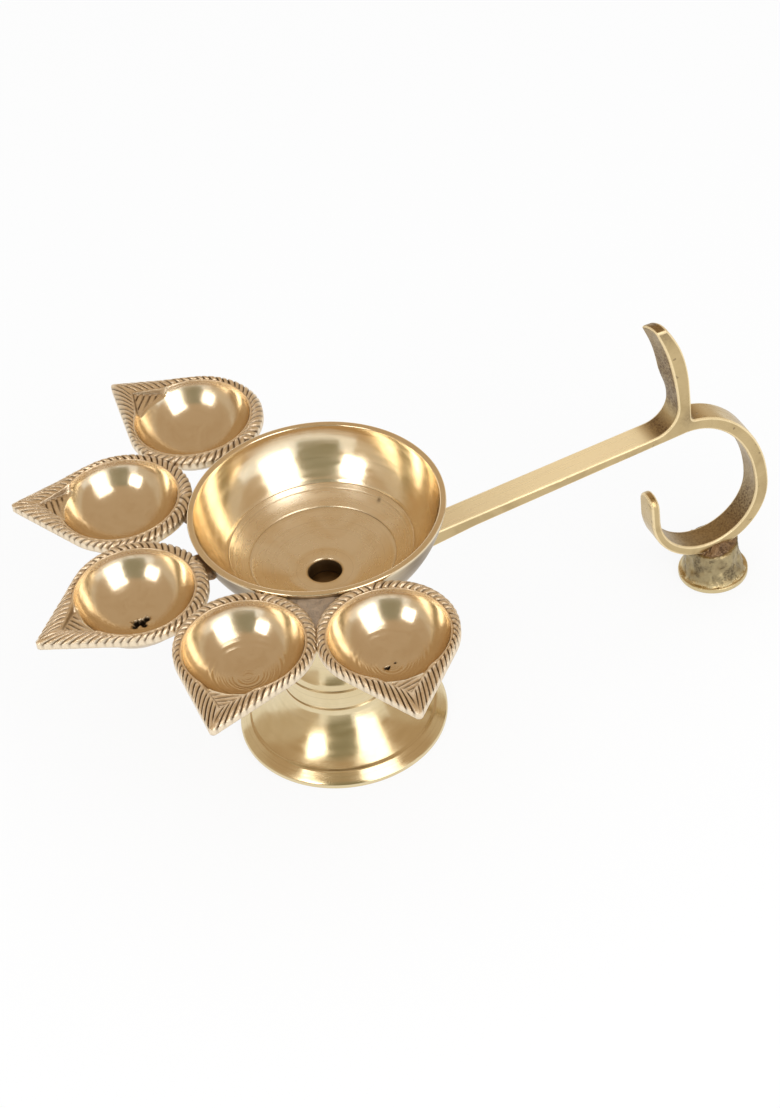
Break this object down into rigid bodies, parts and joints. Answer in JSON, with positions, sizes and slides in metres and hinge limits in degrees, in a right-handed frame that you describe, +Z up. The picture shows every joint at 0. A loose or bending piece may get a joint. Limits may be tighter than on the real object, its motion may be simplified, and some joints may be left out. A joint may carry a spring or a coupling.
{
  "type": "aarti lamp",
  "caption": "Footed brass aarti lamp: a round bowl on a bell pedestal, pointed leaf cups fanned round one side, and a straight handle with a thumb rest and finger hook.",
  "frame": {"origin": "centre of the pedestal's foot, on the table", "axes": "+X along the handle, away from the bowl; +Z up; the leaf cups fan out round -X"},
  "size_m": [0.2501, 0.1844, 0.1105],
  "materials": {
    "polished_brass": "turned and polished",
    "leaf_brass": "polished hollow, milled satin border",
    "satin_brass": "satin cast",
    "braze_metal": "rough braze",
    "plain_brass": "as turned"
  },
  "bodies": {
    "root": {"bowl": "polished_brass", "pedestal": "polished_brass", "tie_screw": "plain_brass", "tie_washer": "plain_brass", "leaf_cup_1": "leaf_brass", "leaf_cup_2": "leaf_brass", "leaf_cup_3": "leaf_brass", "leaf_cup_4": "leaf_brass", "leaf_cup_5": "leaf_brass", "cup_braze": "braze_metal", "handle": "satin_brass", "handle_braze": "braze_metal", "hook_foot": "satin_brass", "foot_braze": "braze_metal"}
  },
  "joints": []
}
